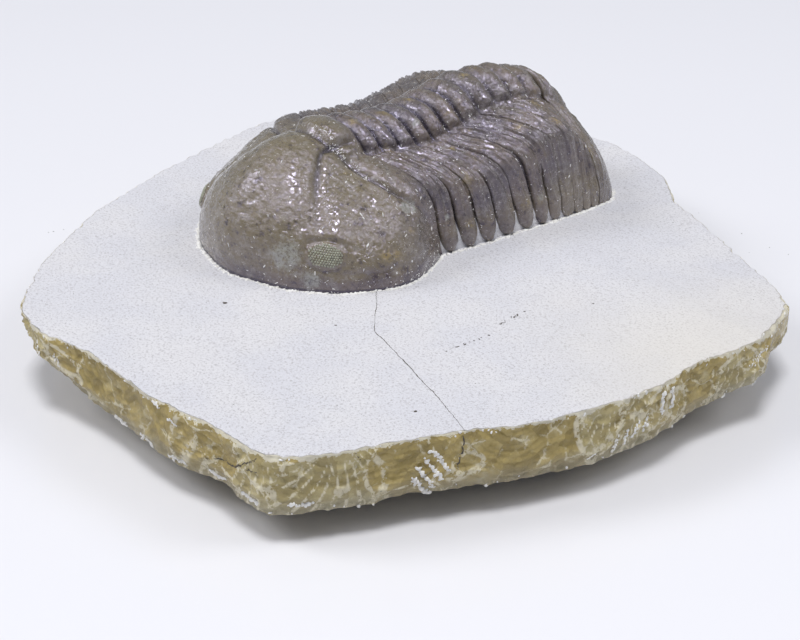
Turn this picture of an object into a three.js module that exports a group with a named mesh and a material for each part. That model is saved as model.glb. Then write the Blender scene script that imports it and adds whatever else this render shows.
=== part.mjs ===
// A phacopid trilobite fossil, lying on the limestone slab that it was prepared from.
//
// Millimetres, +Z up. The animal's midline runs along Y: its head points to -Y, its tail to +Y, and its
// left side is +X. Shapes are first placed from the joint between head and thorax, on the prepared face
// of the slab. The last lines move the whole fossil: its box is centred on Z and its foot stands on Z = 0.
//
// The skeleton is built as the hard plates that it really is: a head shield, eleven thoracic segments and
// a tail shield. Each plate is solid down to the stone, and plates that touch keep a small gap.

import * as THREE from "three";
import { mergeVertices } from "three/addons/utils/BufferGeometryUtils.js";

// ---------------------------------------------------------------- driving dimensions
const SLAB_TOP = 9.5; // from the foot to the prepared face beside the head
const WALL = 6.2; // height of the broken edge, before it turns under
const FACE_DIP = 1.5; // the prepared face is cut this much lower beside the tail
const DIP_START = 14; // where it begins to fall, behind the head joint
const DIP_END = 30; // where it is level again
const SEGMENTS = 11; // a phacopid always has eleven
const GAP = 0.3; // between plates that touch, and between a plate and the stone

// Along the thorax, from the head joint (0) to the tail joint (11), as [joint, millimetres].
const CREST_Y = [[0, 0], [3, 7.1], [6, 13.8], [8, 19.2], [11, 27.2]];
const TIP_Y = [[0, 4.2], [3, 11.6], [5, 17.2], [8, 23.6], [11, 28.2]];
const CREST_Z = [[0, 12.9], [3, 12], [5, 12.3], [7.5, 13.4], [9.5, 13.2], [11, 12]];
const AXIS_HALF = [[0, 4.2], [5, 4.4], [11, 3.6]]; // half width of the raised axis
const SHOULDER_AT = [[0, 9.8], [5, 10.2], [8, 9.8], [11, 7.9]]; // where the ribs turn down
const HALF_WIDTH = [[0, 11.7], [3, 12.7], [7, 12.5], [11, 11.9]];
// The left shoulder has sunk more than the right one under the weight of the sediment.
const LEFT_SINK = [[0, 1.1], [3, 0.5], [6, 0.1], [8.5, 0.5], [11, 2.1]];
const RIGHT_SINK = [[0, -0.7], [3, -0.6], [6, -0.6], [8.5, -0.1], [11, 1.4]];

// Drops from the crest along one cross-section of the thorax.
const RING_CROWN = 0.45; // over the top of the ring
const RING_SIDE = 1.75;
const FURROW_FLOOR = 2.55; // the axial furrow
const RIB_START = 2.75;
const SHOULDER = 3.2;
const SHOULDER_BEND = 4.6;
const LOW_FLANK_ABOVE_TIP = 0.42; // height of the steep flank, as a share of the crest's height over the tip
const TIP_START = 0.2; // the segments begin to sweep back at this share of the way out

// Half plan of the head's front edge and of the tail's rear edge, from the midline to the corner.
const HEAD_EDGE = [
  [0, -14.9], [6.3, -13.4], [10.2, -10.9], [12.6, -8.3], [14.2, -5], [14.4, -2], [13.4, 1], [11.7, 4.2],
];
const TAIL_EDGE = [[0, 34.8], [4.5, 34.5], [8.6, 33.2], [11.1, 31], [11.9, 28.2]];
const TAIL_FULLNESS = 1.55; // 1 makes the tail's profile a straight ramp, 2 an ellipse

// Relief of the plates.
const RING_RELIEF = 0.55; // an axial ring over the groove in front of it
const RIB_RELIEF = 0.3; // a rib over the groove in front of it
const GLABELLA_SWELL = 0.9; // the inflated front lobe of the head
const AXIAL_FURROW = 0.5; // groove on each side of that lobe
const OCCIPITAL_FURROW = 0.7; // groove across the neck
const EYE_SWELL = 0.7;
const RELIEF_SIDEWAYS = 0.6; // the head's relief points away from its middle, and this much less sideways
const RELIEF_MIDDLE_Y = 2;

// How full the head's profile is: 1 follows a circle, and less than 1 is fuller.
const HEAD_LENGTH_POWER = 0.9;
const HEAD_HEIGHT_POWER = 0.85;
const TAIL_NARROWING = 1.3; // above 1, the tail keeps the width of the thorax for longer

// Plan of the prepared face, anticlockwise from the thin tip beside the head.
const SLAB_EDGE = [
  [-6.6, -35.3], [-2.5, -36.3], [5, -35.2], [15.7, -35.8], [24.9, -34.6], [30.5, -34.7], [33.1, -32.4],
  [35.2, -28.5], [37.2, -23.3], [39.4, -18.8], [41.5, -16], [43.1, -11.4], [44.9, -5], [45.3, 0.7], [44.8, 6],
  [45.9, 13.8], [43.9, 18.4], [41.9, 23.1], [38.6, 25.6], [32.4, 29], [26.2, 31.8], [20.2, 34.4],
  [17.2, 35.3], [14.7, 37.2], [11, 40.1], [4.4, 43], [-1, 43.9], [-12, 41], [-22, 36.2], [-29, 30],
  [-31.5, 23], [-31, 14], [-29.5, 6.4], [-26.7, -4], [-24.5, -10.1], [-21.8, -16.5], [-18, -22.6],
  [-14.4, -28.2], [-10.2, -32.3],
];
const SLAB_MIDDLE = [7, 3];
const THIN_TIP = [-9, -34]; // the broken edge is thinnest here
const THIN_SHARE = 0.25; // its height here, as a share of WALL
const THIN_REACH = 16; // full height is reached this far from it
// Rings down the broken edge and under it: [share of the distance from the middle, share of the depth].
const EDGE_RINGS = [[1.012, 0.3], [1.01, 0.65], [0.985, 1]];
const UNDER_RING = [0.84, 0.75]; // the second number runs from the edge's foot to the flat foot
const FOOT_SHARE = 0.62;
const LONGEST_STEP = 5; // longer stretches of the outline are halved

// ---------------------------------------------------------------- small helpers
const HALF_PI = Math.PI / 2;
const MERGE = 1e-3; // points closer than this are one point
const SLIVER = 1e-6; // slack for rounding
const mix = (a, b, share) => a + (b - a) * share;
const clamp01 = (v) => Math.min(1, Math.max(0, v));
const smooth = (v) => clamp01(v) ** 2 * (3 - 2 * clamp01(v));
const bump = (v) => Math.exp(-v * v);
const point = (x, y, z) => new THREE.Vector3(x, y, z);

// A smooth curve through [place, value] knots: a cubic between neighbours, with averaged slopes.
function through(knots) {
  const slope = (i) => {
    const a = knots[Math.max(0, i - 1)];
    const b = knots[Math.min(knots.length - 1, i + 1)];
    return (b[1] - a[1]) / (b[0] - a[0]);
  };
  return (place) => {
    let i = 0;
    while (i < knots.length - 2 && place > knots[i + 1][0]) i++;
    const [start, from] = knots[i];
    const [end, to] = knots[i + 1];
    const span = end - start;
    const u = clamp01((place - start) / span);
    const ends = from * (1 + 2 * u) * (1 - u) ** 2 + to * u * u * (3 - 2 * u);
    const slopes = slope(i) * u * (1 - u) ** 2 + slope(i + 1) * u * u * (u - 1);
    return ends + span * slopes;
  };
}

const crestY = through(CREST_Y);
const tipY = through(TIP_Y);
const crestZ = through(CREST_Z);
const axisHalf = through(AXIS_HALF);
const shoulderAt = through(SHOULDER_AT);
const halfWidth = through(HALF_WIDTH);
const leftSink = through(LEFT_SINK);
const rightSink = through(RIGHT_SINK);

// Height of the prepared face: two level stretches with a ramp between them.
const faceZ = (y) => -FACE_DIP * clamp01((y - DIP_START) / (DIP_END - DIP_START));

// One cross-section of the body. Across runs from -1 (right tip) over 0 (crest) to 1 (left tip): over the
// raised axis, down into the axial furrow, out along the ribs, and over the shoulder down to the tip.
// The profile's knots are [share of the way out, x, z]. The sunken shoulder pulls the outer ones down.
function section(joint, across) {
  const axis = axisHalf(joint);
  const shoulder = shoulderAt(joint);
  const width = halfWidth(joint);
  const crest = crestZ(joint);
  const sink = across > 0 ? leftSink(joint) : rightSink(joint);
  const tip = faceZ(tipY(joint));
  const profile = [
    [-0.12, -0.55 * axis, crest - RING_CROWN],
    [0, 0, crest],
    [0.12, 0.55 * axis, crest - RING_CROWN],
    [0.24, 0.93 * axis, crest - RING_SIDE],
    [0.32, 1.08 * axis, crest - FURROW_FLOOR],
    [0.45, mix(axis, shoulder, 0.33), crest - RIB_START - 0.25 * sink],
    [0.62, shoulder - 0.7, crest - SHOULDER - 0.85 * sink],
    [0.74, mix(shoulder, width, 0.5) + 0.1, crest - SHOULDER_BEND - 1.25 * sink],
    [0.87, width - 0.45, mix(tip, crest - 3, LOW_FLANK_ABOVE_TIP) - 0.7 * sink],
    [1, width, tip],
  ];
  const share = Math.abs(across);
  const x = through(profile.map((k) => [k[0], k[1]]))(share);
  const z = through(profile.map((k) => [k[0], k[2]]))(share);
  const y = mix(crestY(joint), tipY(joint), smooth((share - TIP_START) / (1 - TIP_START)));
  return point(Math.sign(across) * x, y, z);
}

// Even steps across the body, closer together over the axis.
function stepsAcross(count) {
  const steps = Array.from({ length: 2 * count + 1 }, (_, i) => i / count - 1);
  return steps.map((v) => Math.sign(v) * Math.abs(v) ** 1.2);
}

// A point half way round an edge plan that is mirrored at the midline.
function alongEdge(edge, share) {
  const step = 1 / (edge.length - 1);
  const knots = edge.map(([x, y], i) => [i * step, x, y]);
  const mirrored = [[-step, -edge[1][0], edge[1][1]], ...knots];
  const x = through(mirrored.map((k) => [k[0], k[1]]));
  const y = through(mirrored.map((k) => [k[0], k[2]]));
  return [x(share), y(share)];
}

// A geometry from points and triangles, with equal points merged and collapsed triangles left out.
function geometry(points, triangles) {
  const loose = new THREE.BufferGeometry();
  loose.setAttribute("position", new THREE.Float32BufferAttribute(points.flatMap((p) => p.toArray()), 3));
  loose.setIndex(triangles.flat());
  const merged = mergeVertices(loose, MERGE);
  const kept = [];
  for (let i = 0; i < merged.index.count; i += 3) {
    const corners = [...merged.index.array.slice(i, i + 3)];
    if (new Set(corners).size === 3) kept.push(...corners);
  }
  merged.setIndex(kept);
  merged.computeVertexNormals();
  return merged;
}

// A closed solid under a grid of points. Rows follow each other towards the tail, and each row runs from
// the right tip to the left. Walls drop from the first and last row to the face of the stone, and both
// tips of every row are on it.
function plateUnder(rows) {
  const columns = rows[0].length;
  const last = rows.length - 1;
  const onFace = (p) => point(p.x, p.y, faceZ(p.y) + GAP);
  const onPlate = (p) => point(p.x, p.y, Math.max(p.z, faceZ(p.y)) + GAP);
  const lifted = rows.map((row) => row.map((p, c) => (c % (columns - 1) === 0 ? onFace(p) : onPlate(p))));
  const dropped = (row) => row.map(onFace);
  const points = [...lifted.flat(), ...dropped(rows[0]), ...dropped(rows[last])];
  const top = (r, c) => r * columns + c;
  const front = (c) => rows.length * columns + c;
  const rear = (c) => front(c) + columns;
  const triangles = [];
  const quad = (a, b, c, d) => triangles.push([a, b, c], [a, c, d]);
  for (let c = 0; c < columns - 1; c++) {
    for (let r = 0; r < last; r++) quad(top(r, c), top(r, c + 1), top(r + 1, c + 1), top(r + 1, c));
    quad(front(c), front(c + 1), top(0, c + 1), top(0, c));
    quad(top(last, c), top(last, c + 1), rear(c + 1), rear(c));
  }
  const across = Array.from({ length: columns }, (_, c) => c);
  const along = Array.from({ length: last - 1 }, (_, r) => r + 1);
  const outline = [
    ...across.map(front),
    ...along.map((r) => top(r, columns - 1)),
    ...across.map(rear).reverse(),
    ...along.map((r) => top(r, 0)).reverse(),
  ].filter((index, i, all) => points[index].distanceTo(points[all[(i + 1) % all.length]]) > MERGE);
  const plan = outline.map((index) => new THREE.Vector2(points[index].x, points[index].y));
  for (const [a, b, c] of THREE.ShapeUtils.triangulateShape(plan, [])) {
    triangles.push([outline[a], outline[c], outline[b]]);
  }
  return geometry(points, triangles);
}

function part(name, shape, colour, roughness) {
  const finish = new THREE.MeshStandardMaterial({ color: colour, roughness, metalness: 0 });
  const mesh = new THREE.Mesh(shape, finish);
  mesh.name = name;
  return mesh;
}

// ---------------------------------------------------------------- head shield
// Slices fan out about the line through both rear corners, from the front edge (0) to the thorax (1).
const GLABELLA_HALF = [[0, 0.23], [0.3, 0.26], [0.55, 0.225], [0.8, 0.15], [1, 0.2]];
const OCCIPITAL_AT = 0.84;
const EYE = { slice: 0.19, across: 0.305, high: 0.075, wide: 0.065 };
const glabellaHalf = through(GLABELLA_HALF);

function headPoint(slice, across) {
  const share = Math.abs(across);
  const up = Math.sin(slice * HALF_PI);
  const forward = Math.cos(slice * HALF_PI);
  const rear = section(0, across);
  rear.y -= GAP / 2;
  const [edgeX, edgeY] = alongEdge(HEAD_EDGE, share);
  const x = mix(edgeX, Math.abs(rear.x), up ** 2);
  const y = mix(rear.y, edgeY, forward ** HEAD_LENGTH_POWER);
  const z = rear.z * up ** HEAD_HEIGHT_POWER;
  const inward = share / glabellaHalf(slice);
  const inside = smooth((1.15 - inward) / 0.5);
  const clear = smooth(slice / 0.2) * smooth((1 - slice) / 0.08);
  const swell = GLABELLA_SWELL * inside * smooth(slice / 0.25) * smooth((OCCIPITAL_AT - slice) / 0.25);
  const furrow = AXIAL_FURROW * bump((inward - 1) / 0.2) * clear;
  const neck = OCCIPITAL_FURROW * bump((slice - OCCIPITAL_AT) / 0.04) * smooth((1.6 - inward) / 0.5);
  const eye = EYE_SWELL * bump(Math.hypot((slice - EYE.slice) / EYE.high, (share - EYE.across) / EYE.wide));
  const out = swell - furrow - neck + eye;
  const away = point(x * RELIEF_SIDEWAYS, y - RELIEF_MIDDLE_Y, z).normalize();
  return point(Math.sign(across) * (x + away.x * out), y + away.y * out, z + away.z * out);
}

function headShield() {
  const slices = [0, 0.07, 0.13, 0.19, 0.25, 0.33, 0.42, 0.51, 0.6, 0.69, 0.78, 0.84, 0.9, 1];
  const across = stepsAcross(17);
  return plateUnder(slices.map((slice) => across.map((a) => headPoint(slice, a))));
}

// ---------------------------------------------------------------- thorax
// A segment is a band between two joints. It rises quickly from the groove at its front edge, carries the
// ring and the rib, and falls again at its rear edge. Half the gap is taken off at each joint.
const BAND = [[0, 0], [0.3, 0.9], [0.72, 1], [1, 0]];

function segmentPoint(number, [place, height], across) {
  const p = section(number - 1 + place, across);
  const share = Math.abs(across);
  const relief = mix(RING_RELIEF, RIB_RELIEF, smooth((share - 0.2) / 0.2)) * smooth((1 - share) / 0.15);
  return point(p.x, p.y + GAP * (0.5 - place), p.z + relief * height);
}

function segment(number) {
  const across = stepsAcross(13);
  return plateUnder(BAND.map((station) => across.map((a) => segmentPoint(number, station, a))));
}

// ---------------------------------------------------------------- tail shield
// Slices run from the thorax (0) to the rear edge (1), about the line through both front corners.
function tailPoint(slice, across) {
  const front = section(SEGMENTS, across);
  front.y += GAP / 2;
  const [edgeX, edgeY] = alongEdge(TAIL_EDGE, Math.abs(across));
  const back = Math.sin(slice * HALF_PI) ** (2 / TAIL_FULLNESS);
  const up = Math.cos(slice * HALF_PI) ** (2 / TAIL_FULLNESS);
  const x = mix(Math.abs(front.x), edgeX, back ** TAIL_NARROWING);
  const y = mix(front.y, edgeY + GAP / 2, back);
  return point(Math.sign(across) * x, y, mix(faceZ(y), front.z, up));
}

function tailShield() {
  const slices = [0, 0.14, 0.27, 0.4, 0.53, 0.66, 0.78, 0.89, 1];
  const across = stepsAcross(13);
  return plateUnder(slices.map((slice) => across.map((a) => tailPoint(slice, a))));
}

// ---------------------------------------------------------------- slab
// The prepared face is cut along the two lines where its slope changes, so each part of it is flat.
function slab() {
  const closed = [...SLAB_EDGE, SLAB_EDGE[0]];
  const rim = [];
  for (let i = 0; i < SLAB_EDGE.length; i++) {
    const [from, to] = [closed[i], closed[i + 1]];
    const crossings = [DIP_START, DIP_END].map((y) => (y - from[1]) / (to[1] - from[1]));
    const cuts = crossings.filter((s) => s > 0 && s < 1);
    const length = Math.hypot(to[0] - from[0], to[1] - from[1]);
    const halves = length > LONGEST_STEP ? [0, 0.5] : [0];
    const shares = [...halves, ...cuts].sort((a, b) => a - b);
    rim.push(...shares.map((s) => [mix(from[0], to[0], s), mix(from[1], to[1], s)]));
  }
  const count = rim.length;
  const ring = (share, height) => rim.map(([x, y]) =>
    point(mix(SLAB_MIDDLE[0], x, share), mix(SLAB_MIDDLE[1], y, share), height(x, y)));
  const thin = (x, y) => smooth(Math.hypot(x - THIN_TIP[0], y - THIN_TIP[1]) / THIN_REACH);
  const edgeFoot = (x, y) => -WALL * mix(THIN_SHARE, 1, thin(x, y));
  const rings = [
    ring(1, (x, y) => faceZ(y)),
    ...EDGE_RINGS.map(([share, depth]) => ring(share, (x, y) => mix(faceZ(y), edgeFoot(x, y), depth))),
    ring(UNDER_RING[0], (x, y) => mix(edgeFoot(x, y), -SLAB_TOP, UNDER_RING[1])),
    ring(FOOT_SHARE, () => -SLAB_TOP),
  ];
  const points = rings.flat();
  const at = (r, i) => r * count + (i % count);
  const triangles = [];
  for (let i = 0; i < count; i++) {
    for (let r = 0; r < rings.length - 1; r++) {
      triangles.push([at(r, i), at(r + 1, i), at(r + 1, i + 1)], [at(r, i), at(r + 1, i + 1), at(r, i + 1)]);
    }
  }
  const fill = (chosen, reversed) => {
    const plan = chosen.map((i) => new THREE.Vector2(points[i].x, points[i].y));
    for (const [a, b, c] of THREE.ShapeUtils.triangulateShape(plan, [])) {
      triangles.push(reversed ? [chosen[a], chosen[c], chosen[b]] : [chosen[a], chosen[b], chosen[c]]);
    }
  };
  const all = Array.from({ length: count }, (_, i) => i);
  const between = (low, high) => all.filter((i) => points[i].y > low - SLIVER && points[i].y < high + SLIVER);
  fill(between(-Infinity, DIP_START), false);
  fill(between(DIP_START, DIP_END), false);
  fill(between(DIP_END, Infinity), false);
  fill(all.map((i) => at(rings.length - 1, i)), true);
  return geometry(points, triangles);
}

// ---------------------------------------------------------------- assembly
const fossil = new THREE.Group();
fossil.add(part("matrix", slab(), "#dcd8d6", 0.95));
fossil.add(part("cephalon", headShield(), "#5c5248", 0.35));
for (let number = 1; number <= SEGMENTS; number++) {
  fossil.add(part(`thoracic_segment_${String(number).padStart(2, "0")}`, segment(number), "#544b46", 0.35));
}
fossil.add(part("pygidium", tailShield(), "#57504b", 0.35));

const box = new THREE.Box3().setFromObject(fossil);
const middle = box.getCenter(new THREE.Vector3());
fossil.position.set(-middle.x, -middle.y, -box.min.z);

export default fossil;
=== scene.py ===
# %% [markdown]
# # A trilobite fossil on its slab of limestone
#
# The animal is a phacopid trilobite, about 50 mm long. It was buried in lime mud, its shell turned to dark
# calcite, and a preparator ground and air-blasted the stone away from above. What is left is a glossy,
# lacquered fossil on a matt, pale face, and a slab whose edge was broken with a hammer.
#
# This lesson builds the two things that the eye reads first: the crisp relief of the shell, and the contrast
# between blasted stone and broken stone. Relief is made as real geometry, from formulas on fine grids. Grain
# that is too small to model is left to the materials.

# %% Load the frame
import math

import bmesh
import bpy
import numpy as np
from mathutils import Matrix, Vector


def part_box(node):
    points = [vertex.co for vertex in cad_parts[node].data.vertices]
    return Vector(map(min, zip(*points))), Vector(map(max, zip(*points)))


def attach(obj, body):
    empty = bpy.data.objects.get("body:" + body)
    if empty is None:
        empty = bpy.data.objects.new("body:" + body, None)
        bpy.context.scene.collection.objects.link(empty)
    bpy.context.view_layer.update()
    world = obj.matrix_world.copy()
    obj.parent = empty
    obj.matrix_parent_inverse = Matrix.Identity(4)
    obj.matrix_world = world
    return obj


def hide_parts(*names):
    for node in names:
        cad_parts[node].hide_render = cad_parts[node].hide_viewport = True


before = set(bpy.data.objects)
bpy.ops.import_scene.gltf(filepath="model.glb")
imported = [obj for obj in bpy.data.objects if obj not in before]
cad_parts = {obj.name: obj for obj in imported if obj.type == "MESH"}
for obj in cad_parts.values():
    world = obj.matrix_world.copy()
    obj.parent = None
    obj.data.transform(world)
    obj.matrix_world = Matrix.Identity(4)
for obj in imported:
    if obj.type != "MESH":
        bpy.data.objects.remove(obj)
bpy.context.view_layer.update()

# %% [markdown]
# ## One set of axes for the animal
#
# Every shape below is written in millimetres from the joint between head and thorax: x to the animal's left,
# y towards its tail, z up from the prepared face. Anatomy is easy to write in those axes, because the animal
# is symmetric about x = 0. The frame says where that point is on the real slab: the midline is the middle of
# the tail shield, the face is the top of the matrix, and the head's rear corners give the joint.

# %% Where the animal lies
MM = 0.001
CORNER_BEHIND_JOINT = 4.05  # mm, from the joint at the crest back to the head's rear corners

tail_low, tail_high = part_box("pygidium")
head_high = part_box("cephalon")[1]
stone_low, stone_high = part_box("matrix")
ORIGIN = np.array([
    (tail_low.x + tail_high.x) / 2,
    head_high.y - CORNER_BEHIND_JOINT * MM,
    stone_high.z,
])
SLAB_THICK = (stone_high.z - stone_low.z) / MM
print("joint of head and thorax, mm:", np.round(ORIGIN / MM, 2), "slab thickness:", round(SLAB_THICK, 2))


def placed(points):
    """Points in millimetres from the head joint, as points of the frame in metres."""
    return np.asarray(points) * MM + ORIGIN


# %% [markdown]
# ## The camera
#
# The view is from the head end, on the animal's left, looking down at 27 degrees. A portrait lens on a 36 mm
# sensor is close enough here to draw the near corner of the slab larger than the far one. The camera is built
# from two angles, a distance and the point on its axis, because those are what one would set on a tripod.

# %% Camera
AZIMUTH = math.radians(48)  # 0 looks along +Y, 90 along -X
ELEVATION = math.radians(27)
DISTANCE = 189 * MM
LENS = 85.0
AIM = placed([16.4, -6.0, -2.4])

back = Vector((
    math.sin(AZIMUTH) * math.cos(ELEVATION),
    -math.cos(AZIMUTH) * math.cos(ELEVATION),
    math.sin(ELEVATION),
))
camera_data = bpy.data.cameras.new("camera")
camera_data.lens = LENS
camera_data.sensor_width = 36.0
camera_data.clip_start = 0.01
camera = bpy.data.objects.new("camera", camera_data)
camera.location = Vector(AIM) + back * DISTANCE
camera.rotation_euler = back.to_track_quat("Z", "Y").to_euler()
bpy.context.scene.collection.objects.link(camera)
bpy.context.scene.camera = camera
print("camera at, mm:", [round(c / MM, 1) for c in camera.location])

# %% [markdown]
# ## Curves, bumps and waves
#
# Three small helpers carry all the modelling. `through` draws a smooth curve through a few chosen points, as
# one would with a spline on paper. `ease` and `bump` switch a feature on and off without a crease. `waves`
# is a sum of plane waves in random directions: a cheap, smooth, repeatable kind of noise for whole arrays.

# %% Curves, bumps and waves


def through(knots):
    """A smooth curve through [place, value] knots: a cubic between neighbours, with averaged slopes."""
    places, values = np.array(knots, float).T
    before = np.clip(np.arange(len(places)) - 1, 0, None)
    after = np.clip(np.arange(len(places)) + 1, None, len(places) - 1)
    slopes = (values[after] - values[before]) / (places[after] - places[before])

    def curve(place):
        place = np.asarray(place, float)
        i = np.clip(np.searchsorted(places, place, side="right") - 1, 0, len(places) - 2)
        span = places[i + 1] - places[i]
        u = np.clip((place - places[i]) / span, 0, 1)
        ends = values[i] * (1 + 2 * u) * (1 - u) ** 2 + values[i + 1] * u * u * (3 - 2 * u)
        return ends + span * (slopes[i] * u * (1 - u) ** 2 + slopes[i + 1] * u * u * (u - 1))

    return curve


def ease(v):
    """0 below 0, 1 above 1, and a smooth S between."""
    v = np.clip(v, 0, 1)
    return v * v * (3 - 2 * v)


def bump(v):
    return np.exp(-v * v)


def mix(a, b, share):
    return a + (b - a) * share


def waves(points, size, seed, dimensions=3, count=14):
    """Smooth noise between about -1 and 1, with features about `size` millimetres across."""
    rng = np.random.default_rng(seed)
    directions = rng.normal(size=(count, dimensions))
    directions /= np.linalg.norm(directions, axis=1)[:, None]
    lengths = size * rng.uniform(1.3, 3.2, count)
    phases = rng.uniform(0, 2 * math.pi, count)
    total = np.zeros(points.shape[:-1])
    for direction, length, phase in zip(directions, lengths, phases):
        total += np.sin(points @ direction * (2 * math.pi / length) + phase)
    return total / math.sqrt(count)


# %% [markdown]
# ## The body that the relief stands on
#
# A trilobite's thorax has the same cross-section all along: a raised axis, a furrow on each side, a nearly
# level rib, then a shoulder from which the rib drops steeply to its tip. So one curve gives every section,
# and a few tables say how its sizes change from the head joint (0) to the tail joint (11). The left shoulder
# has sunk more than the right one, as fossils do under the weight of the sediment.

# %% Cross-sections of the body
SEGMENTS = 11
FACE_DIP, DIP_START, DIP_END = 1.5, 14.0, 30.0  # the prepared face is lower beside the tail

crest_y = through([[0, 0], [3, 7.1], [6, 13.8], [8, 19.2], [11, 27.2]])
tip_y = through([[0, 4.2], [3, 11.6], [5, 17.2], [8, 23.6], [11, 28.2]])
crest_z = through([[0, 12.9], [3, 12.0], [5, 12.3], [7.5, 13.4], [9.5, 13.2], [11, 12.0]])
axis_half = through([[0, 4.2], [5, 4.4], [11, 3.6]])
shoulder_at = through([[0, 9.8], [5, 10.2], [8, 9.8], [11, 7.9]])
half_width = through([[0, 11.7], [3, 12.7], [7, 12.5], [11, 11.9]])
left_sink = through([[0, 1.1], [3, 0.5], [6, 0.1], [8.5, 0.5], [11, 2.1]])
right_sink = through([[0, -0.7], [3, -0.6], [6, -0.6], [8.5, -0.1], [11, 1.4]])


def face_z(y):
    """Height of the prepared face of the stone."""
    return -FACE_DIP * np.clip((np.asarray(y, float) - DIP_START) / (DIP_END - DIP_START), 0, 1)


def section(joint, across):
    """A point of the smooth body. Across runs from -1 (right tip) over 0 (crest) to 1 (left tip)."""
    joint, across = np.broadcast_arrays(np.asarray(joint, float), np.asarray(across, float))
    share = np.abs(across)
    axis, shoulder, width, crest = axis_half(joint), shoulder_at(joint), half_width(joint), crest_z(joint)
    sink = np.where(across > 0, left_sink(joint), right_sink(joint))
    tip = face_z(tip_y(joint))
    places = np.array([-0.12, 0, 0.12, 0.24, 0.32, 0.45, 0.62, 0.74, 0.87, 1])
    sideways = np.stack([
        -0.55 * axis, 0 * axis, 0.55 * axis, 0.93 * axis, 1.08 * axis, mix(axis, shoulder, 0.33),
        shoulder - 0.7, mix(shoulder, width, 0.5) + 0.1, width - 0.45, width,
    ])
    upward = np.stack([
        crest - 0.45, crest, crest - 0.45, crest - 1.75, crest - 2.55, crest - 2.75 - 0.25 * sink,
        crest - 3.2 - 0.85 * sink, crest - 4.6 - 1.25 * sink, mix(tip, crest - 3, 0.42) - 0.7 * sink, tip,
    ])
    i = np.clip(np.searchsorted(places, share, side="right") - 1, 1, len(places) - 2)
    span = places[i + 1] - places[i]
    u = (share - places[i]) / span

    def along(values):
        def at(k):
            return np.take_along_axis(values, np.clip(k, 0, len(places) - 1)[None], 0)[0]

        def slope(k):
            low, high = np.clip(k - 1, 0, None), np.clip(k + 1, None, len(places) - 1)
            return (at(high) - at(low)) / (places[high] - places[low])

        ends = at(i) * (1 + 2 * u) * (1 - u) ** 2 + at(i + 1) * u * u * (3 - 2 * u)
        return ends + span * (slope(i) * u * (1 - u) ** 2 + slope(i + 1) * u * u * (u - 1))

    y = mix(crest_y(joint), tip_y(joint), ease((share - 0.2) / 0.8))
    return np.stack([np.sign(across) * along(sideways), y, along(upward)], -1)


def along_edge(edge, share):
    """A point of a plan that is mirrored at the midline, from the middle (0) to the corner (1)."""
    step = 1 / (len(edge) - 1)
    mirrored = [(-step, -edge[1][0], edge[1][1])] + [(i * step, x, y) for i, (x, y) in enumerate(edge)]
    return through([(s, x) for s, x, y in mirrored])(share), through([(s, y) for s, x, y in mirrored])(share)


def outward(surface, a, b, step=0.004):
    """Unit normals of a smooth surface, from four neighbours of each point."""
    a, b = np.broadcast_arrays(np.asarray(a, float), np.asarray(b, float))
    along = surface(np.clip(a + step, 0, None), b) - surface(np.clip(a - step, 0, None), b)
    over = surface(a, np.clip(b + step, -1, 1)) - surface(a, np.clip(b - step, -1, 1))
    normals = np.cross(over, along)
    return normals / np.maximum(np.linalg.norm(normals, axis=-1), 1e-9)[..., None]


def worn_surface(points, seed):
    """The uneven surface that every plate shares: shallow dents and fine wrinkles."""
    dents = 0.035 * waves(points, 1.6, seed) + 0.025 * waves(points, 0.7, seed + 1)
    return dents + 0.02 * waves(points, 0.34, seed + 2) + 0.012 * waves(points, 0.2, seed + 3)


print("height at joint 8, mm:", float(np.round(section(8, 0)[2], 2)))

# %% [markdown]
# ## From a grid of points to a closed piece
#
# A shell has thickness, so each plate is a grid on top, the same grid a little deeper, and a rim between
# them. Where a grid runs to a point, at the corners of the head and the tail, equal vertices are welded.
# Each vertex can carry marks, such as how deep in a groove it is, and the materials read those marks; the
# shell paints that depth as shade.

# %% Meshes from grids


def grid_faces(rows, columns, first=0, closed=False):
    """Four-sided faces between neighbouring rows and columns. A closed grid joins its last column on."""
    r = np.arange(rows - 1)[:, None] * columns + first
    c = np.arange(columns if closed else columns - 1)[None, :]
    d = (c + 1) % columns
    return np.stack([r + c, r + d, r + columns + d, r + columns + c], -1).reshape(-1, 4)


def make_piece(name, points, faces, marks=None, material=None, smooth=True):
    """A mesh object from points in millimetres. marks maps a name to one number for each point."""
    mesh = bpy.data.meshes.new(name)
    mesh.from_pydata(placed(points).tolist(), [], [list(f) for f in faces])
    for mark, values in (marks or {}).items():
        layer = mesh.attributes.new(mark, "FLOAT", "POINT")
        layer.data.foreach_set("value", np.ascontiguousarray(values, np.float32))
    welded = bmesh.new()
    welded.from_mesh(mesh)
    bmesh.ops.remove_doubles(welded, verts=welded.verts, dist=2e-6)
    bmesh.ops.dissolve_degenerate(welded, edges=welded.edges, dist=1e-6)
    bmesh.ops.recalc_face_normals(welded, faces=welded.faces)
    welded.to_mesh(mesh)
    welded.free()
    mesh.polygons.foreach_set("use_smooth", [smooth] * len(mesh.polygons))
    if material:
        mesh.materials.append(material)
    piece = bpy.data.objects.new(name, mesh)
    bpy.context.scene.collection.objects.link(piece)
    return piece


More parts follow.
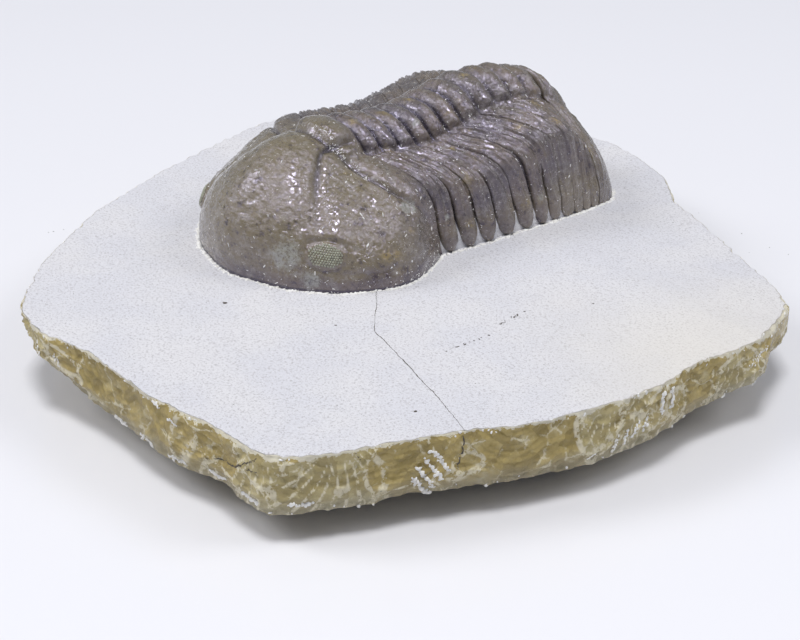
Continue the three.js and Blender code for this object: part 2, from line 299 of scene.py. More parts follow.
def make_shell(name, top, under, marks, material):
    """A closed plate. Both grids have the same columns, and each comes to one point at either end."""
    columns = top.shape[1]
    count = top.shape[0] * columns
    upper = np.arange(count).reshape(top.shape[:2])
    lower = count + np.arange(under.shape[0] * columns).reshape(under.shape[:2])
    rims = []
    for high, low in ((upper[0][::-1], lower[0][::-1]), (upper[-1], lower[-1])):
        rims.append(np.stack([high[:-1], low[:-1], low[1:], high[1:]], -1))
    faces = [grid_faces(len(top), columns), grid_faces(len(under), columns, count)[:, ::-1], *rims]
    points = np.concatenate([top.reshape(-1, 3), under.reshape(-1, 3)])
    below = np.zeros(under.shape[0] * columns)
    both = {mark: np.concatenate([np.ravel(values), below]) for mark, values in marks.items()}
    return make_piece(name, points, np.concatenate(faces), both, material)


# %% [markdown]
# ## Colour and nodes
#
# A paint chart gives colours as sRGB, and Cycles works in linear light, so one function converts. Another
# adds a node with its settings and its links, which keeps each material short enough to read at a glance.

# %% Colour and nodes


def linear(hex_colour):
    """An sRGB hex colour as linear red, green, blue and alpha."""
    channels = [int(hex_colour[i : i + 2], 16) / 255 for i in (1, 3, 5)]
    return [c / 12.92 if c <= 0.04045 else ((c + 0.055) / 1.055) ** 2.4 for c in channels] + [1.0]


def add_node(tree, kind, values=None, links=None, **settings):
    """Adds a node. values sets its inputs, links maps inputs to outputs of other nodes."""
    node = tree.nodes.new(kind)
    for name, value in settings.items():
        setattr(node, name, value)
    for socket, value in (values or {}).items():
        node.inputs[socket].default_value = value
    for socket, source in (links or {}).items():
        tree.links.new(source, node.inputs[socket])
    return node


def new_material(name):
    """A material whose nodes are cleared. Returns it, its tree, and its coordinates in metres."""
    material = bpy.data.materials.new(name)
    material.use_nodes = True
    material.node_tree.nodes.clear()
    coordinates = add_node(material.node_tree, "ShaderNodeTexCoord")
    return material, material.node_tree, coordinates.outputs["Object"]


def per_mm(size):
    """The scale of a texture whose features are `size` millimetres across, for coordinates in metres."""
    return 1 / (size * MM)


def amount(tree, *factors):
    """The product of factors. Each is an output, or (output, low, high, least, most), which turns the output
    smoothly from `least` at `low` to `most` at `high`."""
    product = None
    for factor in factors:
        if isinstance(factor, tuple):
            value, *limits = factor
            step = add_node(
                tree, "ShaderNodeMapRange", dict(zip((1, 2, 3, 4), limits)), {0: value},
                interpolation_type="SMOOTHSTEP",
            )
            factor = step.outputs[0]
        if product is not None:
            both = add_node(tree, "ShaderNodeMath", links={0: product, 1: factor}, operation="MULTIPLY")
            factor = both.outputs[0]
        product = factor
    return product


def overlaid(tree, ground, layers):
    """Lays colours over a ground colour, in order. A layer is a hex colour and the factors of its amount."""
    colour = None
    for hex_colour, *factors in layers:
        layer = add_node(
            tree, "ShaderNodeMix", {6: linear(ground), 7: linear(hex_colour)}, {0: amount(tree, *factors)},
            data_type="RGBA", clamp_factor=True,
        )
        if colour is not None:
            tree.links.new(colour, layer.inputs[6])
        colour = layer.outputs[2]
    return colour


# %% [markdown]
# ## Lacquered calcite shell
#
# The shell is calcite, stained dark by organic matter and iron, and brushed with a thin clear lacquer after
# preparation. The lacquer gives a wet gloss that breaks up on the fine pitting below it. Broad drifts of
# olive and grey, ochre stains, and pale flecks sit on top; the flecks are partly white nicks where the
# blasting nozzle nicked the surface, partly painted glints. Painted shade darkens the hollows and the foot of
# each plate.
# Calcite's index of refraction is about 1.6, and nothing in it is metallic.

# %% Lacquered calcite shell


def lacquered_calcite_shell():
    material, tree, where = new_material("lacquered_calcite_shell")
    noise, mark = {}, {}
    for name, size, detail, roughness in (
        ("drift", 5, 5, 0.6), ("mottle", 1.1, 6, 0.75), ("pepper", 0.35, 4, 0.8), ("stain", 2.6, 5, 0.7),
    ):
        values = {"Scale": per_mm(size), "Detail": detail, "Roughness": roughness}
        noise[name] = add_node(tree, "ShaderNodeTexNoise", values, {0: where}).outputs[0]
    for name in ("front", "groove", "pale", "ochre", "dark"):
        mark[name] = add_node(tree, "ShaderNodeAttribute", attribute_name=name).outputs["Fac"]
    stretched = add_node(tree, "ShaderNodeMapping", {"Scale": (0.45, 1.0, 1.9)}, {"Vector": where})
    scuff_and_glint = add_node(
        tree, "ShaderNodeTexNoise", {"Scale": per_mm(0.42), "Detail": 4, "Roughness": 0.8, "Distortion": 0.9},
        {0: stretched.outputs[0]},
    ).outputs[0]
    spotty = amount(tree, (noise["pepper"], 0.4, 0.55, 0.2, 0.85))
    worn = add_node(
        tree, "ShaderNodeMath", {1: 1.6}, {0: noise["mottle"], 2: mark["pale"]}, operation="MULTIPLY_ADD"
    ).outputs[0]

    colour = overlaid(tree, "#5d5650", [
        ("#6e6354", (noise["drift"], 0.4, 0.6, 0, 1)),
        ("#7d7353", (mark["front"], 0, 1, 0, 0.8)),
        ("#969189", (noise["mottle"], 0.51, 0.64, 0, 0.5)),
        ("#332b28", (noise["mottle"], 0.45, 0.35, 0, 0.75)),
        ("#282221", (noise["pepper"], 0.45, 0.33, 0, 0.6)),
        ("#a5a19a", (noise["pepper"], 0.57, 0.68, 0, 0.45)),
        ("#8a7a45", (noise["stain"], 0.6, 0.7, 0, 0.45)),
        # Painted shade: dark in the deep hollows of the relief and along the foot of each plate, where shadow
        # falls.
        ("#242022", (mark["groove"], 0.15, 0.8, 0, 0.85)),
        ("#a0a298", (worn, 1.05, 1.5, 0, 0.95), spotty),
        ("#9a8648", mark["ochre"], (noise["pepper"], 0.44, 0.54, 0.1, 0.8)),
        ("#2c1d20", mark["dark"], spotty),
        # Pale flecks along the scratches: partly white nicks in the shell, partly painted glints.
        ("#d3cfc6", (scuff_and_glint, 0.63, 0.67, 0, 0.9), (noise["mottle"], 0.45, 0.52, 0, 1)),
    ])

    fine = add_node(
        tree, "ShaderNodeBump", {"Strength": 0.14, "Distance": 0.04 * MM}, {"Height": noise["pepper"]}
    )
    pits = add_node(
        tree, "ShaderNodeBump", {"Strength": 0.32, "Distance": 0.07 * MM},
        {"Height": amount(tree, (scuff_and_glint, 0.36, 0.54, 0, 1)), "Normal": fine.outputs[0]},
    )
    rough = amount(tree, (noise["mottle"], 0.3, 0.7, 0.12, 0.27))
    shader = add_node(
        tree, "ShaderNodeBsdfPrincipled",
        {
            "IOR": 1.6, "Specular IOR Level": 0.85, "Specular Tint": linear("#dad0ff"),
            "Coat Weight": 0.7, "Coat Roughness": 0.06,
        },
        {"Base Color": colour, "Roughness": rough, "Normal": pits.outputs[0], "Coat Normal": pits.outputs[0]},
    )
    add_node(tree, "ShaderNodeOutputMaterial", links={0: shader.outputs[0]})
    return material


SHELL = lacquered_calcite_shell()
print("made", SHELL.name)

# %% [markdown]
# ## Head shield
#
# A phacopid's head is a swollen dome. It is laid out like the slices of an orange that all meet at the two
# rear corners: slice 0 is the front edge and slice 1 is the arch at the thorax. On those two directions each
# feature of the head is one term of a height: the inflated glabella, the furrows beside it, the neck furrow
# and ring, the border along the back of the cheek, and the low turret under each eye.

# %% Head dome
HEAD_EDGE = [
    (0, -14.9), (6.3, -13.4), (10.2, -10.9), (12.6, -8.3), (14.2, -5), (14.4, -2), (13.4, 1), (11.7, 4.2),
]
glabella_half = through([
    [0, 0.225], [0.1, 0.235], [0.27, 0.265], [0.38, 0.255], [0.5, 0.24], [0.6, 0.215], [0.69, 0.19],
    [0.78, 0.155], [0.86, 0.17], [1, 0.2],
])
border_at = through([[0.2, 0.86], [0.32, 0.845], [0.5, 0.76], [0.6, 0.7], [0.7, 0.69], [0.8, 0.74], [1, 0.9]])
NECK_AT = 0.845


def head_dome(slices, across):
    slices, across = np.broadcast_arrays(np.asarray(slices, float), np.asarray(across, float))
    share = np.abs(across)
    rear = section(0 * share, across)
    edge_x, edge_y = along_edge(HEAD_EDGE, share)
    up = np.sin(np.clip(slices, 0, 1) * math.pi / 2)
    forward = np.cos(np.clip(slices, 0, 1) * math.pi / 2)
    x = mix(edge_x, np.abs(rear[..., 0]), up**2)
    y = mix(rear[..., 1], edge_y, forward**0.9)
    return np.stack([np.sign(across) * x, y, rear[..., 2] * up**0.85], -1)


EYE_CENTRE = {1: (0.19, 0.3), -1: (0.17, 0.37)}  # slice and share across, left and right
EYE_LONG, EYE_HIGH = 1.85, 1.25  # mm, half sizes of the visual surface


def eye_frame(side):
    """Centre and two tangents of one eye, on the smooth dome."""
    slices, share = EYE_CENTRE[side]
    centre = head_dome(slices, share * side)
    normal = outward(head_dome, slices, share * side)
    back_along = head_dome(slices, (share + 0.03) * side) - centre
    back_along -= normal * (back_along @ normal)
    back_along /= np.linalg.norm(back_along)
    upwards = np.cross(normal, back_along)
    return centre, back_along, upwards * np.sign(upwards[2])


EYES = {side: eye_frame(side) for side in (1, -1)}


def eye_radius(points):
    """1 on the rim of the nearer eye, and the height above its middle."""
    radius = np.full(points.shape[:-1], 9.0)
    above = np.zeros(points.shape[:-1])
    for centre, back_along, upwards in EYES.values():
        offset = points - centre
        a, b = offset @ back_along / EYE_LONG, offset @ upwards / EYE_HIGH
        r = np.hypot(a, b)
        above = np.where(r < radius, b, above)
        radius = np.minimum(radius, r)
    return radius, above


def head_relief(slices, across, points):
    """Height of the features over the smooth dome, in millimetres."""
    share = np.abs(across)
    inward = share / glabella_half(slices)
    swell = 0.55 * (0.5 + 0.5 * np.cos(math.pi * np.clip(inward / 1.25, 0, 1)))
    swell = swell * ease(slices / 0.2) * ease((NECK_AT + 0.03 - slices) / 0.22)
    swell = swell + 0.25 * bump((slices - 0.45) / 0.2) * bump((share - 0.34) / 0.08)
    depth = mix(0.3, 0.46, ease((slices - 0.25) / 0.5))
    depth = depth * ease((slices - 0.04) / 0.2) * ease((1 - slices) / 0.06)
    furrow = depth * bump((inward - 1.05) / 0.13)
    neck = 0.42 * bump((slices - NECK_AT) / 0.026) * ease((1.3 - inward) / 0.5)
    ring = 0.55 * np.sin(math.pi * np.clip((slices - NECK_AT) / (1 - NECK_AT), 0, 1))
    ring = ring * ease((1.2 - inward) / 0.5)
    behind = slices - border_at(share)
    on_cheek = ease((inward - 1) / 0.35)
    border = 0.42 * bump(behind / 0.03) * on_cheek * ease((0.88 - share) / 0.3)
    rear_roll = 0.22 * np.sin(math.pi * np.clip(behind / (1 - border_at(share)), 0, 1)) * on_cheek
    rear_roll = rear_roll * ease((0.95 - share) / 0.3)
    low = points[..., 2]
    rim_groove = 0.14 * bump((low - 1.9) / 0.4) * ease((share - 0.3) / 0.1) * ease((0.95 - share) / 0.1)
    radius, above = eye_radius(points)
    turret = 0.38 * np.sqrt(np.clip(1 - (radius / 1.15) ** 2, 0, 1)) - 0.06 * bump((radius - 1.3) / 0.16)
    lid = 0.16 * bump((above - 1.65) / 0.45) * bump((radius - 1.65) / 0.5)
    edge_roll = -0.3 * bump((1 - slices) / 0.012)
    return swell - furrow - neck + ring - border + rear_roll - rim_groove + turret + lid + edge_roll


def head_surface(slices, across):
    points = head_dome(slices, across)
    height = head_relief(slices, across, points) + worn_surface(points, 11)
    height = height * ease((1 - np.abs(across)) / 0.02)
    return points + outward(head_dome, slices, across) * height[..., None]


# %% Head plate
SHELL_THICK = 0.9
SKIRT = 0.6  # mm that every plate reaches below the face, so that no gap shows at its foot
HEAD_ROWS, HEAD_COLUMNS, HEAD_UNDER_ROWS = 225, 400, 12

slices = np.linspace(0, 1, HEAD_ROWS)[:, None]
across = np.linspace(-1, 1, HEAD_COLUMNS)[None, :]
top = head_surface(slices, across)
few = np.linspace(0, 1, HEAD_UNDER_ROWS)[:, None]
fade = ease((1 - np.abs(across)) / 0.03)
under = head_dome(few, across) - outward(head_dome, few, across) * (SHELL_THICK * fade)[..., None]
foot = top[:1] * [1, 1, 0] - [0, 0, SKIRT]
top = np.concatenate([foot, top])
under = np.concatenate([foot * [0.96, 0.96, 1], under])
# Painted shade: the deeper a hollow of the relief, the darker it is painted, and a painted shadow line runs
# along the foot where the head meets the stone.
relief = head_relief(slices, across, head_dome(slices, across))
groove = np.clip(-relief / 0.7, 0, 1)
front = ease((4 - top[..., 1]) / 9) * ease((top[..., 2] - 0.3) / 2)
groove = np.maximum(groove, 0.95 * ease((0.5 - top[1:, :, 2]) / 0.4))


def spots(points, centres):
    """1 at the centre of each round spot, falling off to 0. centres holds (point, radius in millimetres)."""
    distance = [np.linalg.norm(points - centre, axis=-1) / radius for centre, radius in centres]
    return bump(np.min(distance, axis=0))


SPOTS = {  # slice and share across of each middle, and the radius in millimetres
    "pale": [(0.15, 0.17, 1.6), (0.05, 0.25, 1.0), (0.6, 0.67, 0.8), (0.65, 0.7, 0.8)],
    "ochre": [(0.4, 0.7, 0.35), (0.2, 0.55, 0.6), (0.2, 0.6, 0.45), (0.75, 0.35, 0.2)],
    "dark": [(0.07, 0.5, 0.9), (0.08, 0.55, 0.7), (0.1, 0.3, 0.25), (0.12, 0.35, 0.2)],
}
# The foot row is painted fully dark, as part of that painted shadow line.
marks = {"groove": np.concatenate([groove[:1] * 0 + 1, groove]), "front": front}
for kind, circles in SPOTS.items():
    marks[kind] = spots(top, [(head_dome(v, t), radius) for v, t, radius in circles])
head = make_shell("head_shield", top, under, marks, SHELL)
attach(head, "root")
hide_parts("cephalon")
print("head shield:", len(head.data.vertices), "vertices")

# %% [markdown]
# ## Thoracic segments
#
# Each of the eleven segments is one plate: a ring over the axis, a rib to each side with an oblique furrow
# that splits it into two fine bands, and a rounded blade at each tip. The plate is narrowed to a half circle
# at its tips, so pale stone shows between the blades as it does on a prepared fossil. The last few are packed
# against the tail, so their tips are wider and less stone shows between them. One striped surface would be
# quicker, but then nothing could be taken apart, and the slits between the plates would be flat.

# %% Thoracic segments
TIP_ROUND_FROM = 0.925
SLIT = 0.008  # of a segment's length, left open at each joint
SEGMENT_PITCH = 2.4  # mm


def rib_waves(joint, share, side, seed):
    """Wrinkles along the ribs: long in the direction of a rib, short and sharp across it."""
    grain = np.stack([joint * SEGMENT_PITCH, share * 2.6 + side * 3, 0 * joint], -1)
    return 1 - 2 * np.abs(waves(grain, 0.42, seed)) ** 0.7


def crowding(number):
    """0 for the free blades in front, 1 for the last ones, which are packed against the tail."""
    return ease((number - 6) / 2)


def segment_relief(number, place, joint, across):
    """Height over the smooth body. place runs from the front edge of the segment (0) to its rear edge (1)."""
    share = np.abs(across)
    centred = 2 * place - 1
    ring = 1.0 * np.clip(1 - np.abs(centred - 0.1) ** 2, 0, 1) - 0.76
    ring = ring * mix(1, 0.75, ease((0.12 - share) / 0.12))
    knob = 0.2 * bump((share - 0.25) / 0.05) * bump(centred / 0.6)
    split = 0.16 * bump((place - 0.45 + 0.5 * (share - 0.5)) / 0.1) * ease((0.8 - share) / 0.3)
    rib = 0.26 * np.clip(1 - np.abs(centred) ** 2.6, 0, 1) ** 0.8 - 0.18 - split
    blade = 0.7 * np.clip(1 - np.abs(centred) ** 2.2, 0, 1) ** 0.8 - 0.44 + 0.2 * bump((share - 0.94) / 0.05)
    blade = blade * mix(1, 0.2, crowding(number))
    furrow = 0.12 * bump((share - 0.33) / 0.04)
    body = mix(ring, rib, ease((share - 0.25) / 0.1))
    wrinkles = 0.12 * rib_waves(joint, share, np.sign(across), 25) * ease((share - 0.27) / 0.1)
    wrinkles = wrinkles * ease((0.97 - share) / 0.15)
    return mix(body, blade, ease((share - 0.76) / 0.16)) + knob - furrow + wrinkles


def segment_joint(number, place, across):
    """Where a point of a segment lies along the thorax. The plate is rounded off at its tips."""
    share = np.abs(across)
    round_from = mix(TIP_ROUND_FROM, 0.975, crowding(number))
    tip = np.clip(share - round_from, 0, 1) / (1 - round_from)
    width = mix(1 - 2 * SLIT, mix(0.88, 0.99, crowding(number)), ease((share - 0.86) / 0.08))
    width = width * np.sqrt(np.clip(1 - tip**2.4, 0, 1))
    return number - 0.5 + (place - 0.5) * width


def segment_surface(number, place, across):
    joint = segment_joint(number, place, across)
    base = section(joint, across)
    relief = segment_relief(number, place, joint, across)
    height = (relief + worn_surface(base, 21)) * ease((1 - np.abs(across)) / 0.012)
    return base + outward(section, joint, across) * height[..., None], relief


def on_segment(number, place, across, radius):
    return section(number - 1 + place, across), radius


rust_spots = [
    on_segment(1, 0.4, 0.07, 0.5), on_segment(5, 0.5, -0.02, 0.4), on_segment(8, 0.5, 0.02, 0.45),
    on_segment(2, 0.5, 0.9, 0.5), on_segment(5, 0.5, 0.9, 0.5), on_segment(7, 0.5, 0.6, 0.4),
    on_segment(9, 0.4, 0.66, 0.6), on_segment(4, 0.5, 0.5, 0.35), on_segment(6, 0.4, 0.42, 0.3),
]
tar_spots = [on_segment(3, 0.5, 0.93, 0.5), on_segment(3, 0.6, 0.9, 0.3), on_segment(6, 0.5, 0.72, 0.3)]
clean_spots = [on_segment(4, 0.5, 0.16, 0.6), on_segment(1, 0.5, 0.85, 0.5), on_segment(6, 0.4, 0.9, 0.5)]

SEGMENT_ROWS, SEGMENT_COLUMNS, SEGMENT_UNDER_ROWS = 30, 390, 5
across = np.linspace(-1, 1, SEGMENT_COLUMNS)[None, :]
tip_fade = ease((1 - np.abs(across)) / 0.012)
place = np.linspace(0, 1, SEGMENT_ROWS)[:, None] + 0 * across
few = np.linspace(0, 1, SEGMENT_UNDER_ROWS)[:, None] + 0 * across
for number in range(1, SEGMENTS + 1):
    top, relief = segment_surface(number, place, across + 0 * place)
    joint = segment_joint(number, few, across)
    under = section(joint, across) - outward(section, joint, across) * (SHELL_THICK * tip_fade)[..., None]
    # Painted shade: the deeper a hollow of a segment's relief, the darker it is painted, a little less on the
    # packed segments at the back.
    marks = {
        "groove": np.clip((-relief - 0.05) / 0.55, 0, 1) * mix(1, 0.6, crowding(number)),
        "front": 0.5 * ease((np.abs(across) - 0.8) / 0.1) + 0.3 * crowding(number) + 0 * relief,
        "pale": spots(top, clean_spots),
        "ochre": spots(top, rust_spots),
        "dark": spots(top, tar_spots),
    }
    segment = make_shell(f"segment_{number:02d}", top, under, marks, SHELL)
    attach(segment, "root")
    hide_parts(f"thoracic_segment_{number:02d}")
print("segments:", SEGMENTS, "of", len(segment.data.vertices), "vertices")

# %% [markdown]
# ## Tail shield
#
# The tail is a short, steep dome of fused segments. Its ribs fade towards the margin, because the furrows
# between fused segments are shallow. They fan out, so their spacing is measured along the axis and squeezed
# towards the corners.

# %% Tail shield
TAIL_EDGE = [(0, 34.8), (4.5, 34.5), (8.6, 33.2), (11.1, 31), (11.9, 28.2)]
TAIL_FULLNESS = 1.55  # 1 makes the profile a straight ramp, 2 an ellipse
TAIL_RIBS = 7


def tail_dome(slices, across):
    slices, across = np.broadcast_arrays(np.asarray(slices, float), np.asarray(across, float))
    front_arch = section(SEGMENTS + 0 * across, across)
    edge_x, edge_y = along_edge(TAIL_EDGE, np.abs(across))
    turn = np.clip(slices, 0, 1) * math.pi / 2
    backward, up = np.sin(turn) ** (2 / TAIL_FULLNESS), np.clip(np.cos(turn), 0, 1) ** (2 / TAIL_FULLNESS)
    x = mix(np.abs(front_arch[..., 0]), edge_x, backward**1.3)
    y = mix(front_arch[..., 1], edge_y, backward)
    return np.stack([np.sign(across) * x, y, mix(face_z(edge_y), front_arch[..., 2], up)], -1)


def tail_relief(slices, across):
    share = np.abs(across)
    order = TAIL_RIBS * slices * (1 - 0.72 * ease((share - 0.25) / 0.75))
    phase = order - np.floor(order)
    pillow = np.clip(1 - np.abs(2 * phase - 1) ** 2.4, 0, 1) ** 0.8
    axial = (0.55 * pillow - 0.36) * ease((0.3 - share) / 0.1)
    ribs = (0.3 * pillow - 0.2) * ease((share - 0.27) / 0.08) * mix(1, 0.45, ease((share - 0.35) / 0.4))
    wrinkles = 0.05 * waves(np.stack([order * 2.2, share * 4 + np.sign(across), 0 * order], -1), 0.5, 35)
    fading = mix(1, 0.3, ease(slices)) * ease((1 - slices) / 0.05)
    return (axial + ribs + wrinkles) * fading - 0.1 * bump((share - 0.31) / 0.04)


TAIL_ROWS, TAIL_COLUMNS, TAIL_UNDER_ROWS = 130, 340, 8
slices = np.linspace(0, 1, TAIL_ROWS)[:, None] ** 1.15
across = np.linspace(-1, 1, TAIL_COLUMNS)[None, :]
base = tail_dome(slices, across)
relief = tail_relief(*np.broadcast_arrays(slices, across))
fade = ease((1 - np.abs(across)) / 0.02)
top = base + outward(tail_dome, slices, across) * ((relief + worn_surface(base, 21)) * fade)[..., None]
few = np.linspace(0, 1, TAIL_UNDER_ROWS)[:, None]
under = tail_dome(few, across) - outward(tail_dome, few, across) * (SHELL_THICK * fade)[..., None]
foot = np.concatenate([top[-1:, :, :2], face_z(top[-1:, :, 1:2]) - SKIRT], -1)
top = np.concatenate([top, foot])
under = np.concatenate([under, foot * [0.97, 0.995, 1]])
# Painted shade in the furrows between the tail's ribs.
groove = np.clip(-relief / 0.4, 0, 1)
marks = {
    "groove": 0.6 * np.concatenate([groove, groove[-1:]]),
    "front": np.full(top.shape[:2], 0.5),
    "ochre": spots(top, [on_segment(11, 1, 0.75, 0.6)]),
}
tail = make_shell("tail_shield", top, under, marks, SHELL)
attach(tail, "root")
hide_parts("pygidium")
print("tail shield:", len(tail.data.vertices), "vertices")

# %% [markdown]
# ## Eyes
#
# A phacopid's eye is a turret of large separate lenses, each a bead of clear calcite, stacked in files like
# cobs of maize. Here they weathered pale grey-green, and they catch the light one by one, so they are real
# beads: flattened spheres in a brick pattern over the outer face of the turret.

# %% Beads and grains
def unit_bead(rings, sides):
    """A sphere of radius 1 as points and faces: two poles and rings between them."""
    angles = np.linspace(0, math.pi, rings + 2)[1:-1]
    turns = np.arange(sides) * 2 * math.pi / sides
    circles = [
        np.stack([np.sin(a) * np.cos(turns), np.sin(a) * np.sin(turns), np.full(sides, np.cos(a))], -1)
        for a in angles
    ]
    points = np.concatenate([[[0, 0, 1]], *circles, [[0, 0, -1]]])
    last = len(points) - 1
    foot = last - sides
    faces = [[0, 1 + i, 1 + (i + 1) % sides] for i in range(sides)]
    faces += grid_faces(rings, sides, 1, closed=True).tolist()
    faces += [[last, foot + (i + 1) % sides, foot + i] for i in range(sides)]
    return points, faces


def scatter(name, centres, sizes, seed, material, normals=None, raggedness=0.0, rings=4, sides=10):
    """One mesh of many beads. sizes gives three half axes for each, the last one along its normal."""
    rng = np.random.default_rng(seed)
    shape, faces = unit_bead(rings, sides)
    all_points, all_faces = [], []
    for i, (centre, size) in enumerate(zip(centres, sizes)):
        up = np.array([0, 0, 1.0]) if normals is None else normals[i]
        side = np.cross(up, [0.3, 0.9, 0.2])
        side /= np.linalg.norm(side)
        turn = rng.uniform(0, 2 * math.pi)
        side = side * math.cos(turn) + np.cross(up, side) * math.sin(turn)
        axes = np.stack([side, np.cross(up, side), up])
        ragged = 1 + raggedness * rng.uniform(-1, 1, (len(shape), 1))
        all_faces += [[f + i * len(shape) for f in face] for face in faces]
        all_points.append(centre + (shape * ragged * size) @ axes)
    return make_piece(name, np.concatenate(all_points), all_faces, material=material)


# %% Lenses
LENS_PITCH = 0.28  # mm between neighbouring lenses
LENS_RADIUS = 0.125


def calcite_lenses():
    material, tree, where = new_material("calcite_lenses")
    drift = add_node(tree, "ShaderNodeTexNoise", {"Scale": per_mm(0.7), "Detail": 3}, {0: where})
    colour = overlaid(tree, "#a3a592", [("#83816f", (drift.outputs[0], 0.4, 0.65, 0, 1))])
    shader = add_node(
        tree, "ShaderNodeBsdfPrincipled",
        {"IOR": 1.6, "Roughness": 0.28, "Coat Weight": 0.3, "Coat Roughness": 0.12},
        {"Base Color": colour},
    )
    add_node(tree, "ShaderNodeOutputMaterial", links={0: shader.outputs[0]})
    return material


LENSES = calcite_lenses()
for side, name in ((1, "eye_lenses_left"), (-1, "eye_lenses_right")):
    rows = np.arange(-5, 6)
    files = np.arange(-8, 9)
    file, row = np.meshgrid(files, rows)
    v, t = EYE_CENTRE[side][0], EYE_CENTRE[side][1] * side
    per_share = np.linalg.norm(head_surface(v, t + 0.02) - head_surface(v, t - 0.02)) / 0.04
    per_slice = np.linalg.norm(head_surface(v + 0.02, t) - head_surface(v - 0.02, t)) / 0.04
    along = (file + 0.5 * (row % 2)) * LENS_PITCH / per_share
    over = row * LENS_PITCH * 0.87 / per_slice
    v, t = EYE_CENTRE[side][0] + over, (EYE_CENTRE[side][1] + along) * side
    centres = head_surface(v, t)
    radius, above = eye_radius(centres)
    kept = radius < 0.95
    centres, normals = centres[kept], outward(head_surface, v, t)[kept]
    sizes = np.full((len(centres), 3), LENS_RADIUS) * [1, 1, 0.75]
    lenses = scatter(name, centres, sizes, 5, LENSES, normals)
    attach(lenses, "root")
    print(name, kept.sum(), "lenses")

# %% [markdown]
# ## Limestone slab
#
# The stone is a dense, fine lime mudstone. Its top was ground and then blasted with powder until it was matt
# and almost white. Its edge shows what the stone looks like inside: olive-ochre and slightly waxy, broken in
# shallow shell-shaped dishes that meet in ridges. A dish is a paraboloid, and the stone that is left is
# whatever lies inside all of them, so the edge is the lowest of many paraboloids. That gives sharp ridges and
# smooth hollows without any carving.

# %% Outline of the slab
SLAB_MIDDLE = np.array([7.0, 3.0])
SLAB_COLUMNS = 1100


def rim_of_slab():
    """Evenly spaced points on the rim of the prepared face, read from the CAD slab."""
    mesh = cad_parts["matrix"].data
    points = (np.array([v.co for v in mesh.vertices]) - ORIGIN) / MM
    points = points[np.abs(points[:, 2] - face_z(points[:, 1])) < 0.02][:, :2]
    angles = np.arctan2(*(points - SLAB_MIDDLE).T[::-1])
    points = points[np.unique(np.round(angles, 5), return_index=True)[1]]
    points = np.concatenate([points, points[:1]])
    lengths = np.concatenate([[0], np.cumsum(np.linalg.norm(np.diff(points, axis=0), axis=1))])
    places = np.arange(SLAB_COLUMNS) / SLAB_COLUMNS * lengths[-1]
    even = np.stack([np.interp(places, lengths, points[:, i]) for i in (0, 1)], -1)
    window = bump(np.arange(-7, 8) / 4.0)
    window /= window.sum()
    soft = sum(w * np.roll(even, k, axis=0) for k, w in zip(range(-7, 8), window))
    return soft, places, lengths[-1]


rim, rim_place, rim_length = rim_of_slab()
print("the rim is", round(rim_length, 1), "mm round")

# %% Broken edge
WALL = 6.2  # mm, height of the broken edge where the slab is full
THIN_TIP, THIN_SHARE, THIN_REACH = np.array([-9.0, -34.0]), 0.25, 16.0
EDGE_ROWS, TOP_ROWS, UNDER_ROWS = 46, 26, 14
DISH_ROUND = 0.045  # 1/mm, curvature of a hollow
BULGE_LIMIT = 0.012  # share of the distance from the middle that the edge may stand outside its rim

rng = np.random.default_rng(74)
dish_count = 300
dish_place = rng.uniform(0, rim_length, dish_count)
dish_depth = rng.uniform(-1.0, WALL + 2.0, dish_count)
dish_cut = rng.uniform(-1.1, -0.1, dish_count)
dish_round = DISH_ROUND * rng.uniform(0.5, 3.0, dish_count)
dish_tone = rng.uniform(0, 1, dish_count)
# The largest flakes are listed one by one: place, depth, cut, curvature and tone of each.
BIG_FLAKES = [
    (60.0, 3.0, -1.15, 0.010, 0.35), (87.0, 3.5, -1.1, 0.030, 0.9), (104.0, 3.0, -1.1, 0.012, 0.3),
    (125.0, 3.0, -1.0, 0.020, 0.2), (93.0, 3.0, -1.1, 0.06, 0.1),
]
for values, flakes in zip((dish_place, dish_depth, dish_cut, dish_round, dish_tone), zip(*BIG_FLAKES)):
    values[: len(flakes)] = flakes


def dishes(place, depth):
    """The lowest dish at each point: its height outside the rim, how near its ridge is, and which it is."""
    lowest = np.full(place.shape, 9.0)
    second = np.full(place.shape, 9.0)
    which = np.zeros(place.shape, int)
    for i in range(dish_count):
        along = np.abs(place - dish_place[i])
        along = np.minimum(along, rim_length - along)
        wide = dish_cut[i] + dish_round[i] * (along**2 * 0.7 + (depth - dish_depth[i]) ** 2)
        second = np.where(wide < lowest, lowest, np.minimum(second, wide))
        which = np.where(wide < lowest, i, which)
        lowest = np.minimum(lowest, wide)
    return lowest, bump((second - lowest) / 0.08), which


def blow_marks(place, depth, which):
    """Ripples round the point where each flake was struck off, and fine hackles that fan out from it."""
    along = (place - dish_place[which] + rim_length / 2) % rim_length - rim_length / 2
    reach = np.hypot(along, depth + 1.2)
    turn = np.arctan2(along, depth + 1.2)
    ripple = 0.05 * np.sin(reach * 2 * math.pi / (0.55 + 0.5 * dish_tone[which]))
    hackle = np.abs(np.sin(turn * (9 + 8 * dish_tone[which]) + 0.8 * reach)) ** 6
    fan = np.where(dish_tone[which] > 0.45, 1, 0.15) * ease((reach - 1.5) / 1.5)
    return ripple, hackle * fan


rim_radius = np.linalg.norm(rim - SLAB_MIDDLE, axis=1)
outward_2d = (rim - SLAB_MIDDLE) / rim_radius[:, None]
rim_face = face_z(rim[:, 1])
thin = ease(np.linalg.norm(rim - THIN_TIP, axis=1) / THIN_REACH)
RIGHT_TIP_AT, RIGHT_TIP_REACH = 136, 10  # mm along the rim
right_tip = bump((rim_place - RIGHT_TIP_AT) / RIGHT_TIP_REACH)
edge_foot = -WALL * mix(THIN_SHARE, 1, thin) * (1 - 0.24 * right_tip)

